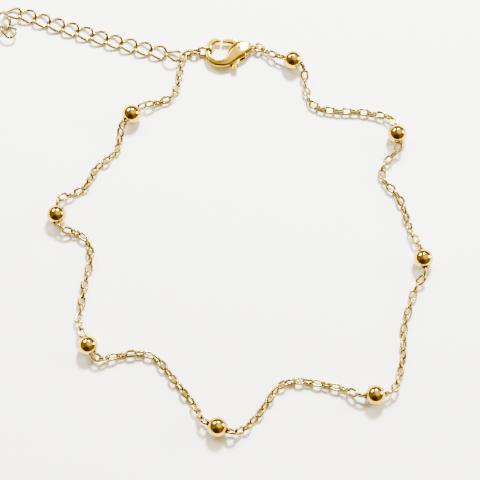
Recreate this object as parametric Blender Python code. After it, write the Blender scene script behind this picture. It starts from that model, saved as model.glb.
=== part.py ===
"""Chain anklet: a fine cable chain through eight hollow beads, with a lobster clasp and an extender chain.

Run with Blender 4.5. Metres, +Z up, lying on the plane z = 0.
"""

import math
from collections import namedtuple

import bmesh
import bpy
from mathutils import Matrix, Vector

MM = 0.001

# Beads
BEAD_DIAMETER = 4.0 * MM
BEAD_WALL = 0.35 * MM
BEAD_HOLE = 1.8 * MM
BEAD_SIDES = 10
BEAD_OUTER_STEPS = 5
BEAD_INNER_STEPS = 2

# Fine chain: oval links of round wire
LINK_LENGTH = 2.48 * MM
LINK_WIDTH = 1.8 * MM
LINK_WIRE = 0.37 * MM
SOLDER_BITE = 0.04 * MM
LINK_SIDES = 10
WIRE_SIDES = 5

# Long link inside each bead
BORE_CLEARANCE = 0.18 * MM
LINK_GAP = 0.17 * MM
BEAD_LEAD = 1.2 * MM

# The longest stretches are plain rods, as wide as the long link
ROD_STRETCHES = (5, 6)
ROD_LINKS_APART = 2
ROD_BEVEL_STEPS = 2
ROD_END_GAP = 0.3 * MM

# How the chain lies
FLOOR_GAP = 0.02 * MM
RISE_LINKS = 3
CURVE_STEPS = 24

# End link, held by the hook: its far side stands inside the band at one of the clasp's sections
END_LINK_LENGTH = 3.5 * MM
END_LINK_WIDTH = 2.5 * MM
END_LINK_WIRE = 0.42 * MM
HOOK_SECTION = 3
HOOK_GAP = 0.18 * MM
HOOK_DROP = 0.14 * MM

# Jump ring between the clasp's eye and the chain
RING_DIAMETER = 2.4 * MM
RING_WIRE = 0.4 * MM

# Extender chain: twisted oval links, the first through the chain's corner link
EXTENDER_PITCH = 3.25 * MM
EXTENDER_WIDTH = 3.3 * MM
EXTENDER_WIRE = 0.4 * MM
EXTENDER_TWIST = 84.0
EXTENDER_GAP = 0.17 * MM
EXTENDER_LINKS = 14
CORNER_LINK = -3
CORNER_OFFSET = Vector((-0.6, 0.0, 0.15)) * MM
CORNER_ROLL = 30.0

# Lobster clasp, measured along and across its body
CLASP_LENGTH = 10.0 * MM
CLASP_WIDTH = 6.6 * MM
CLASP_BODY_WIDTH = 3.2 * MM
CLASP_THICKNESS = 2.3 * MM
CLASP_SIDES_FLAT = 0.6
EYE_DIAMETER = 1.9 * MM
EYE_WIRE = 0.5 * MM
EYE_SINK = 0.35 * MM
PIN_DIAMETER = 0.7 * MM
PIN_GAP = 0.15 * MM
SLOT_HEIGHT = 1.1 * MM
SLOT_BEFORE_PIN = 1.75 * MM
SLOT_PAST_PIN = 1.1 * MM
LEVER_THICKNESS = 0.8 * MM
LEVER_BOSS = 1.7 * MM
ROUND_SIDES = 10

Stop = namedtuple("Stop", "kind x y heading roll drift")

# The chain's route from the clasp's ring round to the hook, in millimetres on the plane it lies on.
# Heading is a bead's axis in degrees; roll and drift turn the links of the stretch after it.
# The hook's own place comes from the clasp.
ROUTE = [
    Stop("clasp", 4.58, 42.5, 0, 90, 0),
    Stop("way", 6.6, 41.3, 0, 0, 0),
    Stop("bead", 11.1, 39.4, -20, 90, 10),
    Stop("way", 13.6, 37.4, 0, 0, 0),
    Stop("way", 14.1, 33.6, 0, 0, 0),
    Stop("way", 15.6, 30.2, 0, 0, 0),
    Stop("way", 19.8, 28.7, 0, 0, 0),
    Stop("way", 25.0, 28.2, 0, 0, 0),
    Stop("way", 30.0, 26.9, 0, 0, 0),
    Stop("bead", 32.4, 22.5, -80, 0, 45),
    Stop("way", 31.3, 18.0, 0, 0, 0),
    Stop("way", 29.3, 15.3, 0, 0, 0),
    Stop("way", 29.6, 12.6, 0, 0, 0),
    Stop("way", 32.5, 8.9, 0, 0, 0),
    Stop("way", 34.0, 3.6, 0, 0, 0),
    Stop("way", 34.9, 0.2, 0, 0, 0),
    Stop("bead", 36.6, -4.7, -80, 90, 20),
    Stop("way", 35.3, -9.8, 0, 0, 0),
    Stop("way", 33.6, -14.6, 0, 0, 0),
    Stop("way", 32.3, -19.2, 0, 0, 0),
    Stop("way", 32.0, -24.0, 0, 0, 0),
    Stop("way", 30.8, -28.9, 0, 0, 0),
    Stop("bead", 26.2, -32.6, 187, 90, 0),
    Stop("way", 21.5, -31.8, 0, 0, 0),
    Stop("way", 16.4, -30.6, 0, 0, 0),
    Stop("way", 11.3, -30.1, 0, 0, 0),
    Stop("way", 7.7, -31.2, 0, 0, 0),
    Stop("way", 4.6, -35.2, 0, 0, 0),
    Stop("way", 1.7, -38.3, 0, 0, 0),
    Stop("bead", -4.3, -38.9, 159, 45, 0),
    Stop("way", -8.7, -34.8, 0, 0, 0),
    Stop("way", -13.2, -29.4, 0, 0, 0),
    Stop("way", -16.6, -25.4, 0, 0, 0),
    Stop("way", -19.6, -24.3, 0, 0, 0),
    Stop("way", -24.5, -24.7, 0, 0, 0),
    Stop("bead", -29.7, -22.7, 116, 0, 30),
    Stop("way", -31.8, -17.6, 0, 0, 0),
    Stop("way", -31.6, -13.5, 0, 0, 0),
    Stop("way", -31.3, -9.0, 0, 0, 0),
    Stop("way", -30.7, -4.2, 0, 0, 0),
    Stop("way", -32.0, 0.0, 0, 0, 0),
    Stop("way", -35.0, 1.5, 0, 0, 0),
    Stop("bead", -37.0, 4.7, 90, 90, 40),
    Stop("way", -35.5, 9.0, 0, 0, 0),
    Stop("way", -32.0, 11.4, 0, 0, 0),
    Stop("way", -30.0, 15.2, 0, 0, 0),
    Stop("way", -26.4, 18.9, 0, 0, 0),
    Stop("way", -24.9, 22.4, 0, 0, 0),
    Stop("bead", -22.4, 27.0, 47, 58, 60),
    Stop("way", -18.7, 29.6, 0, 0, 0),
    Stop("way", -14.4, 31.3, 0, 0, 0),
    Stop("way", -13.0, 34.4, 0, 0, 0),
    Stop("way", -12.5, 38.4, 0, 0, 0),
    Stop("way", -12.1, 40.9, 0, 0, 0),
    Stop("way", -10.6, 41.8, 0, 0, 0),
    Stop("hook", -8.65, 41.8, 0, -32, 0),
    Stop("tail", -17.0, 41.9, 0, 0, 0),
    Stop("tail", -26.5, 44.4, 0, 0, 0),
    Stop("tail", -35.6, 47.3, 0, 0, 0),
    Stop("tail", -46.3, 50.9, 0, 0, 0),
]

# The extender's last links, curled up: how far each turns from the one before, how far it climbs
# in millimetres, and its roll.
CurlLink = namedtuple("CurlLink", "turn climb roll")
CURL = [
    CurlLink(22, 0.35, 21),
    CurlLink(81, 0.0, -22),
    CurlLink(57, 0.45, -25),
]

# Clasp sections from the hook's tip round to the nose: place from the pin as shares of
# CLASP_LENGTH and CLASP_WIDTH, then shares of CLASP_BODY_WIDTH and CLASP_THICKNESS.
ClaspSection = namedtuple("ClaspSection", "along across width thickness")
CLASP_SECTIONS = [
    ClaspSection(-0.400, 0.320, 0.28, 0.40),
    ClaspSection(-0.530, 0.305, 0.32, 0.42),
    ClaspSection(-0.635, 0.165, 0.32, 0.42),
    ClaspSection(-0.680, -0.065, 0.32, 0.42),
    ClaspSection(-0.655, -0.290, 0.33, 0.47),
    ClaspSection(-0.570, -0.445, 0.35, 0.60),
    ClaspSection(-0.425, -0.520, 0.40, 0.77),
    ClaspSection(-0.255, -0.455, 0.54, 0.90),
    ClaspSection(-0.100, -0.200, 0.88, 1.00),
    ClaspSection(0.040, -0.030, 1.00, 1.00),
    ClaspSection(0.160, 0.050, 0.72, 0.90),
    ClaspSection(0.250, 0.070, 0.40, 0.70),
]

# Lever sections from the gate's tip to the end of the tab: shares of CLASP_LENGTH and
# CLASP_WIDTH from the pin, then a share of LEVER_BOSS for the width.
LeverSection = namedtuple("LeverSection", "along across width")
LEVER_SECTIONS = [
    LeverSection(-0.348, 0.300, 0.50),
    LeverSection(-0.220, 0.285, 0.60),
    LeverSection(-0.070, 0.190, 0.72),
    LeverSection(0.000, 0.000, 0.80),
    LeverSection(-0.050, -0.240, 0.72),
    LeverSection(-0.100, -0.500, 0.76),
    LeverSection(-0.112, -0.710, 0.78),
]


def make_collection(name):
    collection = bpy.data.collections.new(name)
    bpy.context.scene.collection.children.link(collection)
    return collection


def make_material(name, colour, roughness):
    material = bpy.data.materials.new(name)
    material.use_nodes = True
    shader = material.node_tree.nodes["Principled BSDF"]
    shader.inputs["Base Color"].default_value = (*colour, 1.0)
    shader.inputs["Metallic"].default_value = 1.0
    shader.inputs["Roughness"].default_value = roughness
    return material


def make_object(name, mesh, material, collection):
    mesh.name = name
    mesh.materials.clear()
    mesh.materials.append(material)
    mesh.shade_smooth()
    mesh.set_sharp_from_angle(angle=math.radians(50))
    obj = bpy.data.objects.new(name, mesh)
    collection.objects.link(obj)
    return obj


def spun_ring(profile, steps, phase=0.0):
    """A closed profile of (radius, height) points turned right round the z axis."""
    bm = bmesh.new()
    start = Matrix.Rotation(2 * math.pi * phase / steps, 3, "Z")
    verts = [bm.verts.new(start @ Vector((radius, 0, height))) for radius, height in profile]
    edges = [bm.edges.new((a, b)) for a, b in zip(verts, verts[1:] + verts[:1])]
    bmesh.ops.spin(
        bm,
        geom=verts + edges,
        cent=(0, 0, 0),
        axis=(0, 0, 1),
        angle=2 * math.pi,
        steps=steps,
        use_merge=True,
    )
    bmesh.ops.recalc_face_normals(bm, faces=bm.faces)
    return bm


def wire_profile(radius, wire):
    """The wire's section: a regular polygon with a corner towards the ring's centre."""
    turns = [math.pi + 2 * math.pi * i / WIRE_SIDES for i in range(WIRE_SIDES)]
    return [(radius + wire / 2 * math.cos(t), wire / 2 * math.sin(t)) for t in turns]


def oval_link(reach, width, wire, phase=0.5, twist=0.0):
    """A link along x whose wire's inner ridge bears at x = reach on both ends.

    Phase 0.5 puts a straight run at each end, so that the ridges of two links cross cleanly.
    Phase 0 puts a corner there, which leaves a narrow link more room inside.
    """
    half_step = math.cos(math.pi / LINK_SIDES)
    radius = (width - wire) / 2
    if phase:
        stretch = reach - (radius - wire / 2) * half_step
    else:
        radius /= half_step
        stretch = reach - (radius - wire / 2)
    bm = spun_ring(wire_profile(radius, wire), LINK_SIDES, phase)
    for vert in bm.verts:
        if abs(vert.co.x) > wire / 100:
            vert.co.x += math.copysign(stretch, vert.co.x)
        turn = math.radians(twist / 2) * vert.co.x / (reach + wire / 2)
        vert.co = Matrix.Rotation(turn, 3, "X") @ vert.co
    return bm


def link_matrix(start, end, roll):
    """A frame at the middle of two joints: x along the link, y across it, rolled from lying flat."""
    along = (end - start).normalized()
    across = Vector((0, 0, 1)).cross(along).normalized()
    across = Matrix.Rotation(math.radians(roll), 3, along) @ across
    matrix = Matrix((along, across, along.cross(across))).transposed().to_4x4()
    matrix.translation = (start + end) / 2
    return matrix


def add_copy(target, source, matrix):
    """Adds a transformed copy of one bmesh to another."""
    mesh = bpy.data.meshes.new("copy")
    source.to_mesh(mesh)
    mesh.transform(matrix)
    target.from_mesh(mesh)
    bpy.data.meshes.remove(mesh)


def mesh_of(bm):
    mesh = bpy.data.meshes.new("mesh")
    bm.to_mesh(mesh)
    bm.free()
    return mesh


def combine(base, tool, operation):
    """The mesh of one Boolean between two meshes, with nothing left over."""
    scratch = bpy.context.scene.collection
    first = bpy.data.objects.new("first", base)
    second = bpy.data.objects.new("second", tool)
    scratch.objects.link(first)
    scratch.objects.link(second)
    boolean = first.modifiers.new("combine", "BOOLEAN")
    boolean.operation = operation
    boolean.object = second
    bpy.context.view_layer.update()
    graph = bpy.context.evaluated_depsgraph_get()
    result = bpy.data.meshes.new_from_object(first.evaluated_get(graph))
    bpy.data.objects.remove(first)
    bpy.data.objects.remove(second)
    return result


def largest_piece(mesh):
    """Drops the tiny closed pockets that crossing wires leave inside a union."""
    bm = bmesh.new()
    bm.from_mesh(mesh)
    left = set(bm.verts)
    pieces = []
    while left:
        piece, edge = set(), [left.pop()]
        while edge:
            vert = edge.pop()
            piece.add(vert)
            near = [link.other_vert(vert) for link in vert.link_edges]
            edge += [other for other in near if other in left]
            left.difference_update(near)
        pieces.append(piece)
    pieces.sort(key=len)
    for piece in pieces[:-1]:
        bmesh.ops.delete(bm, geom=list(piece), context="VERTS")
    bm.to_mesh(mesh)
    bm.free()
    return mesh


def smooth_curve(points):
    """A Catmull-Rom curve through the points, as closely spaced points."""
    padded = [2 * points[0] - points[1], *points, 2 * points[-1] - points[-2]]
    curve = []
    for a, b, c, d in zip(padded, padded[1:], padded[2:], padded[3:]):
        for i in range(CURVE_STEPS):
            t = i / CURVE_STEPS
            curve.append(
                0.5 * (2 * b + (c - a) * t + (2 * a - 5 * b + 4 * c - d) * t**2 + (3 * b - a - 3 * c + d) * t**3)
            )
    curve.append(points[-1])
    return curve


def bowed(points, bow):
    """The same ends, with the points between them moved off the straight line by a factor."""
    start, end = points[0], points[-1]
    line = (end - start).normalized()
    moved = [start]
    for point in points[1:-1]:
        foot = start + line * (point - start).dot(line)
        moved.append(foot + bow * (point - foot))
    return [*moved, end]


def walk(curve, chords):
    """Places along a curve, each one chord on from the last, and how far past the end the last one lies."""
    curve = [*curve, curve[-1] + 50 * (curve[-1] - curve[-2]).normalized() * MM]
    here, index = curve[0], 0
    places = [here]
    for chord in chords:
        while (curve[index + 1] - here).length < chord:
            index += 1
        a, b = curve[index], curve[index + 1]
        low, high = 0.0, 1.0
        for _ in range(40):
            middle = (low + high) / 2
            if (a.lerp(b, middle) - here).length < chord:
                low = middle
            else:
                high = middle
        here = a.lerp(b, low)
        places.append(here)
    end = curve[-2]
    past = (here - end).length
    return places, past if index == len(curve) - 2 else -past


def lie_height(roll, width, wire):
    return (width - wire) / 2 * abs(math.sin(math.radians(roll))) + wire / 2 + FLOOR_GAP


def stretch_rolls(first, last, count):
    """The roll of each link, a quarter turn on from the one before, eased to suit what the last one meets."""
    shares = [i / (count - 1) for i in range(count)]
    rolls = [first.roll + 90 * i + first.drift * math.sin(math.pi * share) for i, share in enumerate(shares)]
    short = (last.roll - rolls[-1] + 90) % 180 - 90
    return [roll + short * share for roll, share in zip(rolls, shares)]


def joint_heights(rolls, start_height, end_height):
    """The height of each joint: resting on the floor, and rising to what each end hangs on."""
    lies = [lie_height(roll, LINK_WIDTH, LINK_WIRE) for roll in rolls]
    rest = [max(pair) for pair in zip([lies[0], *lies], [*lies, lies[-1]])]
    heights = []
    for i, height in enumerate(rest):
        for distance, end in ((i, start_height), (len(rest) - 1 - i, end_height)):
            t = min(distance / RISE_LINKS, 1.0)
            height += (end - height) * (1 - t * t * (3 - 2 * t))
        heights.append(height)
    return heights


def lay_links(first, last, points, start_height, end_height):
    """Joints of whole links from the first point to the last, bowed until they just fit."""
    curve = smooth_curve(points)
    length = sum((b - a).length for a, b in zip(curve, curve[1:]))
    pitch = fine_pitch()
    count = round(length / pitch)
    while True:
        rolls = stretch_rolls(first, last, count)
        heights = joint_heights(rolls, start_height, end_height)
        chords = [math.sqrt(pitch**2 - (b - a) ** 2) for a, b in zip(heights, heights[1:])]
        if sum(chords) > (points[-1] - points[0]).length:
            break
        count += 1
    low, high = 0.0, 3.0
    for _ in range(50):
        bow = (low + high) / 2
        places, past = walk(smooth_curve(bowed(points, bow)), chords)
        if past > 0:
            low = bow
        else:
            high = bow
    return [Vector((p.x, p.y, z)) for p, z in zip(places, heights)], rolls


def fused_chain(joints, rolls, first_link=None):
    """One body of interlocking links, soldered where each bears on the next."""
    pitch = fine_pitch()
    reach = (pitch - SOLDER_BITE) / 2
    kinds = [oval_link(reach, LINK_WIDTH, LINK_WIRE, phase) for phase in (0.0, 0.5)]
    halves = [bmesh.new(), bmesh.new()]
    offset = 0
    if first_link:
        add_copy(halves[0], *first_link)
        offset = 1
    for i, (a, b, roll) in enumerate(zip(joints, joints[1:], rolls)):
        parity = (i + offset) % 2
        add_copy(halves[parity], kinds[parity], link_matrix(a, b, roll))
    for kind in kinds:
        kind.free()
    return largest_piece(combine(mesh_of(halves[0]), mesh_of(halves[1]), "UNION"))


def fine_pitch():
    return LINK_LENGTH - 2 * LINK_WIRE + SOLDER_BITE


def hollow_bead():
    radius, inner, hole = BEAD_DIAMETER / 2, BEAD_DIAMETER / 2 - BEAD_WALL, BEAD_HOLE / 2
    profile = []
    for size, steps, sign in ((radius, BEAD_OUTER_STEPS, 1), (inner, BEAD_INNER_STEPS, -1)):
        rim = math.asin(hole / size)
        for i in range(steps + 1):
            angle = rim + (math.pi - 2 * rim) * i / steps
            profile.append((size * math.sin(angle), sign * size * math.cos(angle)))
    return mesh_of(spun_ring(profile, BEAD_SIDES, phase=0.5))


def heading_vector(degrees):
    return Vector((math.cos(math.radians(degrees)), math.sin(math.radians(degrees)), 0))


def clasp_loft():
    """The hook and body: eight-sided sections at right angles to their centre line."""
    centres = [Vector((s.along * CLASP_LENGTH, s.across * CLASP_WIDTH, 0)) for s in CLASP_SECTIONS]
    ahead = [*centres[1:], centres[-1]]
    behind = [centres[0], *centres[:-1]]
    bm = bmesh.new()
    rings = []
    for section, centre, after, before in zip(CLASP_SECTIONS, centres, ahead, behind):
        along = (after - before).normalized()
        across = Vector((along.y, -along.x, 0))
        half_width = section.width * CLASP_BODY_WIDTH / 2
        half_height = section.thickness * CLASP_THICKNESS / 2
        flat = CLASP_SIDES_FLAT
        corners = [(1, -flat), (1, flat), (flat, 1), (-flat, 1), (-1, flat), (-1, -flat), (-flat, -1), (flat, -1)]
        rings.append(
            [bm.verts.new(centre + across * (x * half_width) + Vector((0, 0, z * half_height))) for x, z in corners]
        )
    for first, second in zip(rings, rings[1:]):
        for i in range(len(first)):
            j = (i + 1) % len(first)
            bm.faces.new((first[i], first[j], second[j], second[i]))
    bm.faces.new(rings[0])
    bm.faces.new(rings[-1])
    bmesh.ops.recalc_face_normals(bm, faces=bm.faces)
    return mesh_of(bm)


def cylinder(diameter, height, sides=ROUND_SIDES):
    bm = bmesh.new()
    bmesh.ops.create_cone(
        bm, cap_ends=True, segments=sides, radius1=diameter / 2, radius2=diameter / 2, depth=height
    )
    return mesh_of(bm)


def eye_place():
    """The middle of the clasp's eye, on the nose, from the pin."""
    nose = CLASP_SECTIONS[-1]
    return Vector((nose.along * CLASP_LENGTH + EYE_DIAMETER / 2 - EYE_SINK, nose.across * CLASP_WIDTH, 0))


def clasp_body_mesh():
    body = clasp_loft()
    eye = spun_ring(wire_profile((EYE_DIAMETER - EYE_WIRE) / 2, EYE_WIRE), LINK_SIDES)
    eye.transform(Matrix.Translation(eye_place()) @ Matrix.Rotation(math.pi / 2, 4, "X"))
    body = combine(body, mesh_of(eye), "UNION")
    bm = bmesh.new()
    bmesh.ops.create_cube(bm, size=1)
    slot = Vector((SLOT_BEFORE_PIN + SLOT_PAST_PIN, 2 * CLASP_WIDTH, SLOT_HEIGHT))
    bm.transform(Matrix.Translation(((SLOT_PAST_PIN - SLOT_BEFORE_PIN) / 2, 0, 0)) @ Matrix.Diagonal((*slot, 1)))
    body = combine(body, mesh_of(bm), "DIFFERENCE")
    return combine(body, cylinder(PIN_DIAMETER + 2 * PIN_GAP, 2 * CLASP_THICKNESS), "DIFFERENCE")


def lever_mesh():
    """A flat plate along the lever's centre line, with its boss and pin hole."""
    centres = [Vector((s.along * CLASP_LENGTH, s.across * CLASP_WIDTH, 0)) for s in LEVER_SECTIONS]
    ahead = [*centres[1:], centres[-1]]
    behind = [centres[0], *centres[:-1]]
    left, right = [], []
    for section, centre, after, before in zip(LEVER_SECTIONS, centres, ahead, behind):
        along = (after - before).normalized()
        across = Vector((along.y, -along.x, 0)) * section.width * LEVER_BOSS / 2
        left.append(centre - across)
        right.append(centre + across)
    bm = bmesh.new()
    outline = [bm.verts.new(p - Vector((0, 0, LEVER_THICKNESS / 2))) for p in [*left, *reversed(right)]]
    face = bm.faces.new(outline)
    solid = bmesh.ops.extrude_face_region(bm, geom=[face])
    tops = [item for item in solid["geom"] if isinstance(item, bmesh.types.BMVert)]
    bmesh.ops.translate(bm, verts=tops, vec=(0, 0, LEVER_THICKNESS))
    bmesh.ops.recalc_face_normals(bm, faces=bm.faces)
    lever = combine(mesh_of(bm), cylinder(LEVER_BOSS, LEVER_THICKNESS), "UNION")
    return combine(lever, cylinder(PIN_DIAMETER + 2 * PIN_GAP, 2 * LEVER_THICKNESS), "DIFFERENCE")


def stretches():
    """The route cut at its beads: (first stop, the points after it, last stop)."""
    stops = [stop for stop in ROUTE if stop.kind != "tail"]
    ends = [i for i, stop in enumerate(stops) if stop.kind != "way"]
    return [(stops[a], stops[a + 1 : b], stops[b]) for a, b in zip(ends, ends[1:])]


def plan(stop):
    return Vector((stop.x, stop.y, 0)) * MM


def on_bead_axis(bead, away):
    return plan(bead) + heading_vector(bead.heading) * away + Vector((0, 0, BEAD_DIAMETER / 2))


def long_link(bead):
    """The link through a bead: soldered to the stretch after it, and loose in the one before."""
    reach = BEAD_DIAMETER / 2 - SOLDER_BITE / 2 + LINK_GAP / 2
    link = oval_link(reach, BEAD_HOLE - 2 * BORE_CLEARANCE, LINK_WIRE)
    before, after = on_bead_axis(bead, -BEAD_DIAMETER / 2 - LINK_GAP), on_bead_axis(bead, BEAD_DIAMETER / 2)
    return link, link_matrix(before, after, bead.roll - 90)


def ring_place(joints):
    """The jump ring's middle: it holds the chain's first link."""
    along = joints[1] - joints[0]
    along.z = 0
    return joints[0] - along.normalized() * (RING_DIAMETER / 2 - RING_WIRE - LINK_GAP)


def pin_place(joints):
    """The clasp's pin, from the ring that its eye holds."""
    wire_at = Vector(((RING_DIAMETER - RING_WIRE) / 2, 0, 0))
    return ring_place(joints) - wire_at - eye_place()


def end_link_reach():
    return END_LINK_LENGTH / 2 - END_LINK_WIRE


def hook_place(joints):
    """The chain's last joint, so far from the hook's band that the end link goes round it."""
    band = CLASP_SECTIONS[HOOK_SECTION]
    inside = band.along * CLASP_LENGTH + band.width * CLASP_BODY_WIDTH / 2 + HOOK_GAP
    place = pin_place(joints) + Vector((inside - 2 * end_link_reach() + LINK_GAP, band.across * CLASP_WIDTH - HOOK_DROP, 0))
    place.z = 0
    return place


def lay_stretch(first, ways, last, laid):
    """The joints and rolls of one stretch's links, between what it hangs on at its two ends."""
    points = [plan(way) for way in ways]
    heights = []
    for stop, side in ((first, 1), (last, -1)):
        ends = [hook_place(laid[0][0]) if stop.kind == "hook" else plan(stop)]
        if stop.kind == "bead":
            axis = side * heading_vector(stop.heading)
            ends = [ends[0] + axis * away for away in (BEAD_DIAMETER / 2, BEAD_DIAMETER / 2 + BEAD_LEAD)]
        points = ends + points if stop is first else points + ends[::-1]
        heights.append(BEAD_DIAMETER / 2 if stop.kind == "bead" else CLASP_THICKNESS / 2)
    return lay_links(first, last, points, *heights)


def rod_object(name, first, last, joints, meets_rod, material, collection):
    """A plain rod in place of a stretch, from inside its first bead to what passes through its last."""
    radius = BEAD_HOLE / 2 - BORE_CLEARANCE
    tip = LINK_LENGTH / 2 - fine_pitch() / 2
    start = BEAD_DIAMETER / 2 - tip - ROD_END_GAP
    stop_short = start + ROD_END_GAP if meets_rod else BEAD_DIAMETER / 2 + LINK_GAP + LINK_WIRE + ROD_END_GAP
    lead = BEAD_DIAMETER / 2 + BEAD_LEAD
    points = [
        on_bead_axis(first, -start),
        *joints[: -ROD_LINKS_APART - 1 : ROD_LINKS_APART],
        on_bead_axis(last, -lead),
        on_bead_axis(last, -stop_short),
    ]
    curve = bpy.data.curves.new(name, "CURVE")
    curve.dimensions = "3D"
    curve.bevel_depth = radius
    curve.bevel_resolution = ROD_BEVEL_STEPS
    curve.use_fill_caps = True
    curve.materials.append(material)
    spline = curve.splines.new("POLY")
    spline.points.add(len(points) - 1)
    for spot, point in zip(spline.points, points):
        spot.co = (point.x, point.y, max(point.z, radius + FLOOR_GAP), 1)
    rod = bpy.data.objects.new(name, curve)
    collection.objects.link(rod)


def build_beads_and_chain(gold, bright, collection):
    """Returns the joints and rolls of every stretch, so that what hangs on the chain finds its place."""
    laid = []
    for number, (first, ways, last) in enumerate(stretches(), 1):
        joints, rolls = lay_stretch(first, ways, last, laid)
        laid.append((joints, rolls))
        if first.kind == "bead":
            bead = make_object(f"bead_{number - 1}", hollow_bead(), bright, collection)
            turn = Vector((0, 0, 1)).rotation_difference(heading_vector(first.heading))
            bead.rotation_euler = turn.to_euler()
            bead.location = plan(first) + Vector((0, 0, BEAD_DIAMETER / 2))
        if number in ROD_STRETCHES:
            rod_object(f"chain_{number}", first, last, joints, number + 1 in ROD_STRETCHES, gold, collection)
        else:
            bar = long_link(first) if first.kind == "bead" else None
            make_object(f"chain_{number}", fused_chain(joints, rolls, bar), gold, collection)
    return laid


def ring_mesh(diameter, wire):
    return mesh_of(spun_ring(wire_profile((diameter - wire) / 2, wire), LINK_SIDES, phase=0.5))


def build_clasp(joints, yellow, gold, collection):
    """The jump ring holds the chain's first link, and the clasp's eye holds the ring."""
    ring = make_object("clasp_ring", ring_mesh(RING_DIAMETER, RING_WIRE), gold, collection)
    ring.location = ring_place(joints)
    body = make_object("clasp_body", clasp_body_mesh(), yellow, collection)
    lever = make_object("clasp_lever", lever_mesh(), yellow, collection)
    pin = make_object("clasp_pin", cylinder(PIN_DIAMETER, CLASP_THICKNESS), gold, collection)
    for piece in (body, lever, pin):
        piece.location = pin_place(joints)


def build_end_link(before, joint, roll, gold, collection):
    """The oval link on the chain's last joint, round the hook."""
    along = (joint - before).normalized()
    reach = end_link_reach()
    link = make_object("end_link", mesh_of(oval_link(reach, END_LINK_WIDTH, END_LINK_WIRE)), gold, collection)
    left = joint - along * LINK_GAP
    link.matrix_world = link_matrix(left, left + Vector((2 * reach, 0, 0)), roll + 90)


def extender_places(corner):
    """Each link's frame: the first at the chain's corner, then along the tail of the route, then the curl."""
    start = Vector((corner.x + CORNER_OFFSET.x, corner.y + CORNER_OFFSET.y, 0))
    points = [start, *(plan(stop) for stop in ROUTE if stop.kind == "tail")]
    joints, _ = walk(smooth_curve(points), [EXTENDER_PITCH] * (EXTENDER_LINKS - len(CURL)))
    places = [link_matrix(a, b, CORNER_ROLL if a is joints[0] else 0) for a, b in zip(joints, joints[1:])]
    here, ahead = joints[-1], (joints[-1] - joints[-2]).normalized()
    for link in CURL:
        climb = link.climb * MM
        ahead = Matrix.Rotation(math.radians(link.turn), 3, "Z") @ ahead
        there = here + ahead * math.sqrt(EXTENDER_PITCH**2 - climb**2)
        places.append(link_matrix(here, there + Vector((0, 0, climb)), link.roll))
        here = there
    return places


def build_extender(corner, gold, collection):
    """Twisted links, each loose in the last by the extender gap and let down on to the floor."""
    reach = (EXTENDER_PITCH + EXTENDER_GAP) / 2
    rise = CORNER_OFFSET.z
    for number, place in enumerate(extender_places(corner), 1):
        mesh = mesh_of(oval_link(reach, EXTENDER_WIDTH, EXTENDER_WIRE, twist=EXTENDER_TWIST))
        lowest = min((place @ vert.co).z for vert in mesh.vertices)
        link = make_object(f"extender_link_{number:02d}", mesh, gold, collection)
        link.matrix_world = Matrix.Translation((0, 0, FLOOR_GAP + rise - lowest)) @ place
        rise = 0


def centre_on_origin(collection):
    """Moves everything so that the origin is the bottom centre of the whole bounding box."""
    bpy.context.view_layer.update()
    graph = bpy.context.evaluated_depsgraph_get()
    corners = []
    for obj in collection.objects:
        solid = obj.evaluated_get(graph)
        corners += [obj.matrix_world @ vert.co for vert in solid.to_mesh().vertices]
        solid.to_mesh_clear()
    low = Vector([min(corner[axis] for corner in corners) for axis in range(3)])
    high = Vector([max(corner[axis] for corner in corners) for axis in range(3)])
    shift = Vector(((low.x + high.x) / 2, (low.y + high.y) / 2, low.z))
    for obj in collection.objects:
        obj.location -= shift


def main():
    for obj in list(bpy.data.objects):
        bpy.data.objects.remove(obj, do_unlink=True)
    collection = make_collection("chain_anklet")
    gold = make_material("pale_gold_wire", (0.83, 0.66, 0.34), 0.22)
    bright = make_material("polished_gold_bead", (0.86, 0.68, 0.36), 0.1)
    yellow = make_material("yellow_gold_clasp", (0.87, 0.67, 0.26), 0.14)
    laid = build_beads_and_chain(gold, bright, collection)
    last_joints = laid[-1][0]
    build_clasp(laid[0][0], yellow, gold, collection)
    build_end_link(last_joints[-2], last_joints[-1], laid[-1][1][-1], gold, collection)
    corner = (last_joints[CORNER_LINK - 1] + last_joints[CORNER_LINK]) / 2
    build_extender(corner, gold, collection)
    centre_on_origin(collection)


main()
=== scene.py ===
"""Chain anklet, dressed: round-wire links, polished hollow beads, a lobster clasp and an extender chain.

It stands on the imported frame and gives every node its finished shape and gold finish, a white table top,
soft light and the camera.
"""

import math
from collections import namedtuple

import bmesh
import bpy
from mathutils import Matrix, Vector


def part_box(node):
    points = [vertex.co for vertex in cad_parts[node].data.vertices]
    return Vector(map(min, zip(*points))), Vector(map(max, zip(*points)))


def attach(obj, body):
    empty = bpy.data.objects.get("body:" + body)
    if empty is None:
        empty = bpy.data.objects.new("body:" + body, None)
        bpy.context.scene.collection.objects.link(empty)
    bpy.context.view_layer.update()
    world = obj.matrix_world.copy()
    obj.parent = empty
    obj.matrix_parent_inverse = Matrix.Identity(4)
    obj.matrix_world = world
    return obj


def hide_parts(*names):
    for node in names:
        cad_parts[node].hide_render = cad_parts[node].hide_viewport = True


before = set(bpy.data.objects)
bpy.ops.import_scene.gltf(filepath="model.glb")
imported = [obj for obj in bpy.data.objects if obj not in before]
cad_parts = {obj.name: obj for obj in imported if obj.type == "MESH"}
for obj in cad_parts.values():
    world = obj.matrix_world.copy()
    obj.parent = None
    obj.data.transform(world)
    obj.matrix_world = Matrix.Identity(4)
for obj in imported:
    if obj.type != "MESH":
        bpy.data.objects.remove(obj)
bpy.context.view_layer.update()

MM = 0.001

# Searches and modelling: a length under TINY counts as none
TINY = 0.005 * MM
HALVINGS = 50
MOST_BOW = 3.0
RUN_ON = 50 * MM
ROUND_STEPS = 32
SMOOTH_ANGLE = 40

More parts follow.
